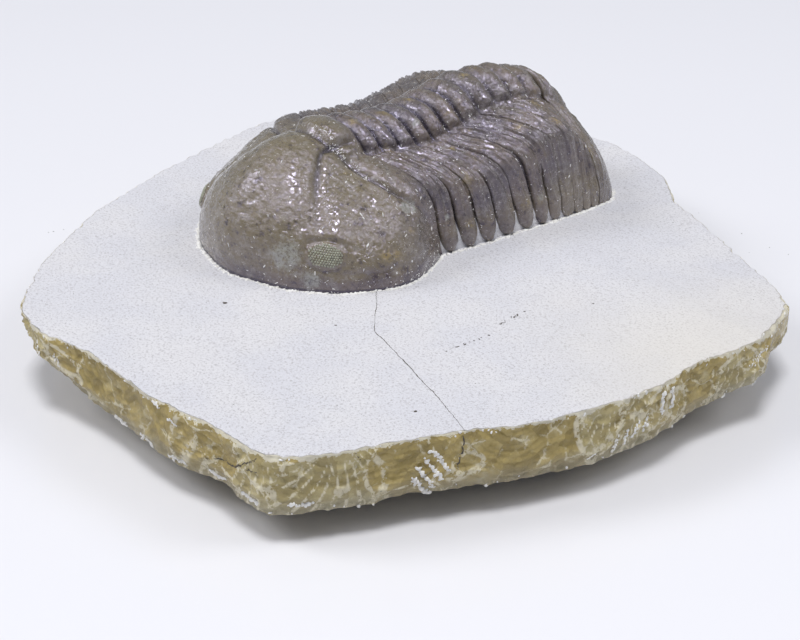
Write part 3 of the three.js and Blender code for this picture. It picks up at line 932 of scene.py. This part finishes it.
down = np.linspace(0, 1, EDGE_ROWS)[:, None] ** 0.9
depth = down * (rim_face - edge_foot)[None, :]
place_grid = np.broadcast_to(rim_place, depth.shape)
lowest, ridge, which = dishes(place_grid, depth)
ripple, hackle = blow_marks(place_grid, depth, which)
lap = place_grid / rim_length * 2 * math.pi
cloud = np.stack([np.cos(lap) * rim_length / 2 / math.pi, np.sin(lap) * rim_length / 2 / math.pi, depth], -1)
lowest = lowest - np.median(lowest) + 0.05
start = ease(depth / 0.8)
undercut = -0.6 * ease((down - 0.7) / 0.3)
fine = 0.12 - 0.16 * np.abs(waves(cloud, 1.1, 41)) - 0.07 * np.abs(waves(cloud, 0.5, 42))
out = (lowest + ripple + 0.09 * hackle) * mix(0.15, 1, start) + fine + undercut
out = np.minimum(out, BULGE_LIMIT * rim_radius)
edge_xy = rim[None] + outward_2d[None] * out[..., None]
edge_z = rim_face[None] - depth
edge_points = np.concatenate([edge_xy, edge_z[..., None]], -1)

# The face runs in from the rim. Small chips make the rim itself wander.
chip = 0.16 * np.clip(waves(cloud[0], 1.0, 43) - 0.3, 0, 2) + 0.05
share = 1 - (1 - np.linspace(0, 1, TOP_ROWS + 1)[1:]) ** 2.2
top_radius = share[:, None] * (rim_radius + out[0])[None]
top_xy = SLAB_MIDDLE + outward_2d[None] * top_radius[..., None]
top_z = face_z(top_xy[..., 1])
inside = (rim_radius + out[0])[None] - top_radius


def face_height(xy):
    """The real, slightly uneven height of the blasted face."""
    xy = np.asarray(xy, float)
    return face_z(xy[..., 1]) + 0.04 * (waves(xy, 3.5, 44, 2) - 1.2)


top_z = face_height(top_xy)
top_z = top_z - chip[None] * np.clip(1 - inside / 0.5, 0, 1) ** 2
edge_points[0] = np.concatenate([top_xy[-1], top_z[-1][:, None]], -1)
fall = np.clip(1 - depth / 1.0, 0, 1) ** 2
edge_points[1:, :, 2] -= (chip[None] * fall)[1:]
top_points = np.concatenate([top_xy, top_z[..., None]], -1)[:-1]

# The underside rises from the flat foot to the edge in one rough, hollow curve.
UNDER_RING, UNDER_DROP, FOOT_SHARE = 0.84, 0.75, 0.62
turn = np.linspace(0, 1, UNDER_ROWS + 1)[1:]
profile_share = through([[0, 1], [0.5, UNDER_RING], [1, FOOT_SHARE]])(turn)
profile_drop = through([[0, 0], [0.5, UNDER_DROP], [1, 1]])(turn)
last_radius = np.linalg.norm(edge_points[-1, :, :2] - SLAB_MIDDLE, axis=1)
under_radius = last_radius[None] * profile_share[:, None]
under_xy = SLAB_MIDDLE + outward_2d[None] * under_radius[..., None]
under_z = mix(edge_points[-1, :, 2][None], -SLAB_THICK, profile_drop[:, None])
under_cloud = np.concatenate([under_xy, under_z[..., None]], -1)
rough = 0.35 * waves(under_cloud, 4, 45) + 0.12 * waves(under_cloud, 1.2, 46)
under_z = np.maximum(under_z + rough * np.sin(turn * math.pi)[:, None], -SLAB_THICK)
under_points = np.concatenate([under_xy, under_z[..., None]], -1)
print("broken edge stands", np.round([out.min(), out.max()], 2), "mm outside the rim")

# %% Slab mesh
rows = np.concatenate([top_points, edge_points, under_points])
top_middle, foot_middle = [*SLAB_MIDDLE, top_z[0].mean()], [*SLAB_MIDDLE, -SLAB_THICK]
slab_points = np.concatenate([[top_middle], rows.reshape(-1, 3), [foot_middle]])
last = len(slab_points) - 1
columns = np.arange(SLAB_COLUMNS)
after = (columns + 1) % SLAB_COLUMNS
slab_faces = [[0, 1 + a, 1 + b] for a, b in zip(columns, after)]
slab_faces += grid_faces(len(rows), SLAB_COLUMNS, 1, closed=True).tolist()
foot_ring = last - SLAB_COLUMNS
slab_faces += [[last, foot_ring + b, foot_ring + a] for a, b in zip(columns, after)]


def slab_mark(on_top, on_edge, underneath):
    """One number for each vertex of the slab, from the values on its three parts."""
    parts = [np.broadcast_to(values, shape.shape[:2]) for values, shape in (
        (on_top, top_points), (on_edge, edge_points), (underneath, under_points),
    )]
    values = np.concatenate(parts).ravel()
    return np.concatenate([values[:1], values, values[-1:]])


STAIN_MIDDLE = np.array([47, 9])  # mm, just off the right end of the slab
STAIN_REACH, STAIN_WANDER = 27, 2.5  # mm


def toward_right_end(xy):
    """1 at the right end of the face, which is stained cream, fading to 0 with a ragged limit."""
    away = np.hypot(*np.moveaxis(xy - STAIN_MIDDLE, -1, 0)) + STAIN_WANDER * waves(xy, 9, 47, 2)
    return ease(1 - away / STAIN_REACH)


slab_marks = {
    "broken": slab_mark(ease(1 - inside[:-1] / 0.25) * 0.5, ease(depth / 0.3 + 0.5), 1),
    "ridge": slab_mark(0, np.maximum(ridge, hackle), 0),
    "tone": slab_mark(0, dish_tone[which], 0.5),
    "lip": slab_mark(0, 1 - depth / 1.4, 0),
    "low": slab_mark(0, down, 1),
    "right_end": slab_mark(toward_right_end(top_xy[:-1]), toward_right_end(edge_xy), 0),
}

# %% [markdown]
# ## Blasted and broken limestone
#
# One stone, two surfaces. Powder blasting leaves a frosted, even face: fully matt, almost white, with a faint
# grey speckle of calcite crystals. A hammer leaves a waxy surface in the stone's own olive-ochre, cream
# where the ridges are bruised to powder, and paler along the rim where the blasting reached round the corner.

# %% Limestone


def limestone():
    material, tree, where = new_material("limestone")
    noise, mark = {}, {}
    for name, size, detail, roughness in (
        ("wide", 9, 4, 0.5), ("cloudy", 2.4, 6, 0.65), ("patchy", 0.8, 5, 0.7), ("speckle", 0.25, 5, 0.8),
        ("crumb", 0.14, 3, 0.7),
    ):
        values = {"Scale": per_mm(size), "Detail": detail, "Roughness": roughness}
        noise[name] = add_node(tree, "ShaderNodeTexNoise", values, {0: where}).outputs[0]
    for name in ("right_end", "tone", "low", "ridge", "lip", "broken"):
        mark[name] = add_node(tree, "ShaderNodeAttribute", attribute_name=name).outputs["Fac"]

    face = overlaid(tree, "#d5d5db", [
        ("#dbdadd", (noise["wide"], 0.35, 0.65, 0, 1)),
        ("#aeabae", (noise["speckle"], 0.5, 0.62, 0, 0.8)),
        ("#f1f0f3", (noise["crumb"], 0.55, 0.7, 0, 0.6)),
        ("#ded8cb", (mark["right_end"], 0, 1, 0, 0.5)),
    ])

    warped = add_node(
        tree, "ShaderNodeVectorMath", {1: (0.9 * MM,) * 3}, {0: noise["patchy"].node.outputs[1], 2: where},
        operation="MULTIPLY_ADD",
    )
    chips = add_node(tree, "ShaderNodeTexVoronoi", {"Scale": per_mm(1.5)}, {0: warped.outputs[0]})
    veins = add_node(
        tree, "ShaderNodeTexVoronoi", {"Scale": per_mm(2.6)}, {0: warped.outputs[0]},
        feature="DISTANCE_TO_EDGE",
    )
    wander = mark["lip"]
    for name, share in (("patchy", 1.2), ("cloudy", 1.6)):
        wander = add_node(
            tree, "ShaderNodeMath", {1: share}, {0: noise[name], 2: wander}, operation="MULTIPLY_ADD"
        ).outputs[0]
    inner = overlaid(tree, "#b5a165", [
        ("#beb07f", (mark["tone"], 0.3, 1, 0, 1)),
        ("#cdc4a2", (noise["cloudy"], 0.5, 0.7, 0, 0.6)),
        ("#9a884c", (noise["cloudy"], 0.46, 0.3, 0, 0.8)),
        ("#857440", (chips.outputs[1], 0.55, 0.35, 0, 0.45)),
        ("#a5a49c", (mark["low"], 0.6, 1, 0, 0.45)),
        ("#e4dcc0", (veins.outputs[0], 0.05, 0.015, 0, 0.7), (noise["cloudy"], 0.48, 0.58, 0, 1)),
        ("#e8e0c6", (mark["ridge"], 0.35, 0.8, 0, 0.8), (noise["patchy"], 0.45, 0.52, 0, 1)),
        ("#e5dfca", (wander, 2.06, 2.12, 0, 0.9)),
    ])

    broken = amount(tree, (mark["broken"], 0.3, 0.7, 0, 1))
    colour = add_node(
        tree, "ShaderNodeMix", links={0: broken, 6: face, 7: inner}, data_type="RGBA", clamp_factor=True
    )
    rough = amount(tree, (broken, 0, 1, 0.92, 0.24))
    normal = None
    for height, strength, distance in (
        (noise["speckle"], 0.8, 0.07), (amount(tree, chips.outputs[0], broken), 0.9, 0.6),
        (noise["crumb"], 0.6, 0.03),
    ):
        links = {"Height": height} if normal is None else {"Height": height, "Normal": normal}
        values = {"Strength": strength, "Distance": distance * MM}
        normal = add_node(tree, "ShaderNodeBump", values, links).outputs[0]
    shader = add_node(
        tree, "ShaderNodeBsdfPrincipled",
        {"IOR": 1.58, "Specular IOR Level": 0.4},
        {"Base Color": colour.outputs[2], "Roughness": rough, "Normal": normal},
    )
    add_node(tree, "ShaderNodeOutputMaterial", links={0: shader.outputs[0]})
    return material


STONE = limestone()
slab = make_piece("slab", slab_points, slab_faces, slab_marks, STONE)
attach(slab, "root")
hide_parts("matrix")
print("slab:", len(slab.data.vertices), "vertices")

# %% [markdown]
# ## Stone between the blades, and grit at the foot
#
# The stone under the shell was never removed, so it stands in the notches between the blades. It is a second,
# slightly smaller body below the plates, in the same limestone. Where shell and stone meet, the preparator
# stops just short of the shell, and that leaves a fringe of white crumbs, with loose specks in every pit.

# %% Stone below the plates
CORE_ROWS, CORE_COLUMNS = 60, 150
joint = np.linspace(0.05, SEGMENTS - 0.05, CORE_ROWS)[:, None]
across = np.linspace(-1, 1, CORE_COLUMNS)[None, :]
share = np.abs(across)
deep = mix(0.85, 0.3, ease((share - 0.86) / 0.1))
core_top = section(joint, across) - outward(section, joint, across) * deep[..., None]
core_top = core_top + outward(section, joint, across) * (0.06 * waves(core_top, 0.5, 51))[..., None]
core_top[..., 2] -= 0.6 * ease((share - 0.985) / 0.015) + 0 * joint
core_under = core_top * [0.96, 1, 0] - [0, 0, 2.2]
core_under[:, [0, -1]] = core_top[:, [0, -1]]
core = make_shell("stone_core", core_top, core_under, {"right_end": 0 * core_top[..., 0]}, STONE)
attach(core, "root")

# %% Crumbs and specks of stone


def stone_powder():
    material, tree, where = new_material("stone_powder")
    drift = add_node(tree, "ShaderNodeTexNoise", {"Scale": per_mm(0.5), "Detail": 3}, {0: where})
    colour = overlaid(tree, "#e9e7e2", [("#f6f5f3", (drift.outputs[0], 0.35, 0.65, 0, 1))])
    shader = add_node(
        tree, "ShaderNodeBsdfPrincipled", {"Roughness": 0.95, "IOR": 1.5, "Specular IOR Level": 0.2},
        {"Base Color": colour},
    )
    add_node(tree, "ShaderNodeOutputMaterial", links={0: shader.outputs[0]})
    return material


POWDER = stone_powder()
CRUMBS, HEAD_SPECKS, FURROW_SPECKS, SEGMENT_SPECKS = 1400, 1000, 160, 75
rng = np.random.default_rng(8)
t = rng.uniform(-1, 1, CRUMBS)
foot_x, foot_y = along_edge(HEAD_EDGE, np.abs(t))
head_foot = np.stack([np.sign(t) * foot_x, foot_y], -1)
joints = rng.uniform(0, SEGMENTS, CRUMBS)
blade_foot = section(joints, np.where(rng.random(CRUMBS) < 0.5, -1.0, 1.0))[:, :2]
foot_x, foot_y = along_edge(TAIL_EDGE, np.abs(t))
tail_foot = np.stack([np.sign(t) * foot_x, foot_y], -1)
foot = np.concatenate([head_foot, blade_foot, tail_foot[: CRUMBS // 2]])
away = foot - [0, 10]
away /= np.linalg.norm(away, axis=1)[:, None]
foot = foot + away * (0.05 + np.abs(rng.normal(0, 0.16, len(foot))))[:, None]
foot = np.concatenate([foot, face_height(foot)[:, None]], -1)
sizes = 0.04 + 0.2 * rng.random((len(foot), 1)) ** 2.5
sizes = sizes * rng.uniform([0.6, 0.6, 0.3], [1.6, 1.2, 0.9], (len(foot), 3))
crumbs = scatter("contact_crumbs", foot, sizes, 9, POWDER, raggedness=0.3, rings=2, sides=6)
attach(crumbs, "root")

v = rng.uniform(0, 1, HEAD_SPECKS) ** 1.7
t = rng.uniform(-0.97, 0.97, HEAD_SPECKS)
# Chalk was left in the furrow along the rear border of the cheeks.
in_furrow = np.arange(HEAD_SPECKS) < FURROW_SPECKS
t[in_furrow] = np.abs(t[in_furrow] * 0.5 + 0.15)
v[in_furrow] = border_at(t[in_furrow]) + rng.normal(0.01, 0.012, FURROW_SPECKS)
places = head_surface(v, t)
normals = outward(head_surface, v, t)
sizes = 0.02 + 0.09 * rng.random((HEAD_SPECKS, 1)) ** 2.5
sizes = sizes * rng.uniform([0.8, 0.3, 0.3], [3.0, 0.9, 0.5], (HEAD_SPECKS, 3))
specks = scatter("specks_on_head", places, sizes, 10, POWDER, normals, raggedness=0.3, rings=2, sides=6)
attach(specks, "root")

places, normals = [], []
for number in range(1, SEGMENTS + 1):
    n = SEGMENT_SPECKS
    t = rng.uniform(0.1, 0.99, n) * np.where(rng.random(n) < 0.7, 1, -1)
    p = np.where(rng.random(n) < 0.25, rng.uniform(0, 0.12, n), rng.uniform(0, 1, n))
    places.append(segment_surface(number, p, t)[0])
    normals.append(outward(section, number - 1 + p, t))
places, normals = np.concatenate(places), np.concatenate(normals)
sizes = 0.02 + 0.09 * rng.random((len(places), 1)) ** 2.5
sizes = sizes * rng.uniform([0.8, 0.3, 0.3], [3.0, 0.9, 0.5], (len(places), 3))
specks = scatter("specks_on_thorax", places, sizes, 11, POWDER, normals, raggedness=0.3, rings=2, sides=6)
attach(specks, "root")
print("crumbs and specks:", len(foot) + HEAD_SPECKS + len(places))

# %% [markdown]
# ## Bruises, cracks and specks on the stone
#
# Each place where a hammer or a chisel struck the edge is a stroke of crushed, chalk-white stone. One
# hairline crack runs from the head across the face, and four short ones down the edge. A few dark mineral
# grains stand in the face. Places on the edge are in millimetres along the rim and down it.

# %% Bruises on the broken edge


def edge_point(along, down_mm):
    """A point of the broken edge, and its outward direction, from millimetres along the rim and down it."""
    column = int(round(along / rim_length * SLAB_COLUMNS)) % SLAB_COLUMNS
    row = int(np.abs(depth[:, column] - down_mm).argmin())
    return edge_points[row, column], np.array([*outward_2d[column], 0.0])


# A chisel is struck several times from one stance, so bruises come in groups of like strokes. Each group has
# the first stroke's start (along, down), the step to the next one, the run of a stroke, how many there are,
# and the size of their grains.
BRUISE_GROUPS = [
    ((121, 1), (-1.5, 0), (0.5, 2.5), 2, 0.28),
    ((118, 3), (-1.2, 0.3), (-0.4, 1.5), 4, 0.2),
    ((112, 5), (18, 0), (-0.8, 0.6), 2, 0.18),
    ((96, 1.5), (-0.6, 0.9), (1.5, 2.3), 4, 0.27),
    ((83, 5), (-5, 0.2), (2, 0.2), 6, 0.28),
    ((50, 2), (-2.5, -0.6), (0.5, 1.4), 2, 0.17),
    ((66.5, 0.3), (2, 1), (0.8, 0.4), 2, 0.2),
    ((135, 1.5), (0, 0), (-3, 1), 1, 0.14),
]
EDGE_CRUMBS = 260
rng = np.random.default_rng(15)
places, normals, sizes = [], [], []
for start, step, run, count, radius in BRUISE_GROUPS:
    for number in range(count):
        for s in np.arange(0, 1, radius * 0.42 / math.hypot(*run)):
            along, down_mm = np.array(start) + number * np.array(step) + s * np.array(run)
            point, away = edge_point(along + rng.normal(0, 0.09), down_mm + rng.normal(0, 0.09))
            places.append(point)
            normals.append(away)
            sizes.append(radius * rng.uniform(0.35, 1.0) * np.array([1, rng.uniform(0.6, 1.1), 0.4]))
for i in range(EDGE_CRUMBS):
    along, down_mm = rng.uniform(0, rim_length), rng.choice([0.25, 0.5, 5.9, 6.1])
    point, away = edge_point(along, down_mm + rng.normal(0, 0.15))
    places.append(point)
    normals.append(away)
    sizes.append(rng.uniform(0.06, 0.2) * np.array([1.3, rng.uniform(0.6, 1.1), 0.4]))
bruises = scatter("bruises", np.array(places), sizes, 16, POWDER, np.array(normals), 0.3, rings=3, sides=7)
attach(bruises, "root")
print("bruises:", len(places), "grains")

# %% Hairline cracks
CRACK_STEP = 0.16  # mm


def hairline(name, path, normals, half_width, seed, material):
    """A ragged thread with a diamond section, half sunk in a surface, tapering at both ends."""
    rng = np.random.default_rng(seed)
    path, normals = np.array(path), np.array(normals)
    forward = np.gradient(path, axis=0)
    sideways = np.cross(normals, forward)
    sideways /= np.linalg.norm(sideways, axis=1)[:, None]
    path = path + sideways * np.cumsum(rng.normal(0, 0.025, len(path)))[:, None]
    taper = np.sin(np.linspace(0.06, math.pi - 0.06, len(path))) ** 0.4
    width = half_width * rng.uniform(0.4, 1.3, len(path)) * taper
    rings = np.stack([
        path + sideways * width[:, None], path + normals * 0.025,
        path - sideways * width[:, None], path - normals * 0.05,
    ], 1)
    faces = grid_faces(len(path), 4, closed=True).tolist() + [[3, 2, 1, 0]]
    faces.append([len(path) * 4 - 4 + i for i in range(4)])
    return make_piece(name, rings.reshape(-1, 3), faces, material=material, smooth=False)


def walk(corners):
    """Points every CRACK_STEP millimetres along straight stretches between corners."""
    corners = np.array(corners, float)
    lengths = np.concatenate([[0], np.cumsum(np.linalg.norm(np.diff(corners, axis=0), axis=1))])
    at = np.arange(0, lengths[-1], CRACK_STEP)
    return np.stack([np.interp(at, lengths, corners[:, i]) for i in (0, 1)], -1)


CRACK_COLOUR = bpy.data.materials.new("crack_shadow")
CRACK_COLOUR.use_nodes = True
crack_shader = CRACK_COLOUR.node_tree.nodes["Principled BSDF"]
crack_shader.inputs["Base Color"].default_value = linear("#57514a")
crack_shader.inputs["Roughness"].default_value = 0.9

FACE_CRACK = [(13.5, -6.5), (20, -12.5), (29, -15.5), (39.5, -19)]
on_face = walk(FACE_CRACK)
on_face = np.concatenate([on_face, face_height(on_face)[:, None]], -1)
cracks = [hairline("crack_in_face", on_face, np.tile([0, 0, 1.0], (len(on_face), 1)), 0.05, 61, CRACK_COLOUR)]
EDGE_CRACKS = [
    [(89, 0.3), (91.5, 5)], [(99, 0.3), (98, 4)], [(80.5, 0.5), (77, 3), (73, 3.5)], [(80.5, 2), (78.5, 2.5)],
]
for i, corners in enumerate(EDGE_CRACKS):
    found = [edge_point(a, d) for a, d in walk(corners)]
    points, normals = np.array([f[0] for f in found]), np.array([f[1] for f in found])
    cracks.append(hairline(f"crack_in_edge_{i + 1}", points, normals, 0.08, 62 + i, CRACK_COLOUR))
for crack in cracks:
    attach(crack, "root")

# %% Dark grains in the face
DARK_GRAINS = [(0.28, 5.5, -19.5), (0.22, 34, -20), (0.14, 16.5, -14.5), (0.13, 30, 7.5)]
LOOSE_GRAINS = 60
rng = np.random.default_rng(19)
grains = list(DARK_GRAINS)
for (x, y), (a, b) in ((27.5, -10.5), (28, -4.5)), ((27, -2.5), (26.5, 1.5)):
    for s in rng.uniform(0, 1, 18):
        grains.append((rng.uniform(0.06, 0.13), mix(x, a, s) + rng.normal(0, 0.07), mix(y, b, s)))
for i in range(LOOSE_GRAINS):
    grains.append((rng.uniform(0.03, 0.075), rng.uniform(-22, 42), rng.uniform(-32, 36)))
grains = np.array(grains)
on_face = np.concatenate([grains[:, 1:], face_height(grains[:, 1:])[:, None]], -1)
sizes = grains[:, :1] * [1.2, 0.7, 0.4]
dark_grains = scatter("dark_grains", on_face, sizes, 20, CRACK_COLOUR, raggedness=0.35, rings=2, sides=6)
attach(dark_grains, "root")
print("cracks:", len(cracks), "dark grains:", len(grains))

# %% [markdown]
# ## Floor and light
#
# A glossy white table under a large soft light, a little in front of straight overhead, with a weaker one to
# each side, as in a photographer's light tent. The room's own dim light keeps the shadows open, so only the
# undercut edge is dark.

# %% Floor, light and world


def plain_material(name, colour, roughness):
    material, tree, where = new_material(name)
    shader = add_node(
        tree, "ShaderNodeBsdfPrincipled", {"Base Color": linear(colour), "Roughness": roughness, "IOR": 1.45}
    )
    add_node(tree, "ShaderNodeOutputMaterial", links={0: shader.outputs[0]})
    return material


FLOOR_HALF = 1.5  # m
corners = [(-1, -1), (1, -1), (1, 1), (-1, 1)]
floor_mesh = bpy.data.meshes.new("floor")
floor_mesh.from_pydata([(x * FLOOR_HALF, y * FLOOR_HALF, 0) for x, y in corners], [], [(0, 1, 2, 3)])
floor_mesh.materials.append(plain_material("white_table", "#ececf1", 0.2))
floor = bpy.data.objects.new("floor", floor_mesh)
bpy.context.scene.collection.objects.link(floor)

world = bpy.data.worlds.new("room")
world.use_nodes = True
world.node_tree.nodes["Background"].inputs[0].default_value = linear("#e9edf9")
world.node_tree.nodes["Background"].inputs[1].default_value = 0.33
bpy.context.scene.world = world


def softbox(name, direction, distance, size, watts):
    """A square area light that looks at the slab from a direction, at a distance in metres."""
    light = bpy.data.lights.new(name, "AREA")
    light.size = size
    light.energy = watts
    lamp = bpy.data.objects.new(name, light)
    toward = Vector(direction).normalized()
    lamp.location = toward * distance
    lamp.rotation_euler = toward.to_track_quat("Z", "Y").to_euler()
    bpy.context.scene.collection.objects.link(lamp)
    return lamp


softbox("overhead", (0.18, -0.20, 0.96), 1.5, 0.36, 12.0)
softbox("right_hand", (0.50, 0.50, 0.70), 1.5, 0.6, 4.6)
softbox("left_hand", (-0.52, -0.52, 0.68), 1.5, 0.6, 7.6)
bpy.context.scene.view_settings.view_transform = "Standard"
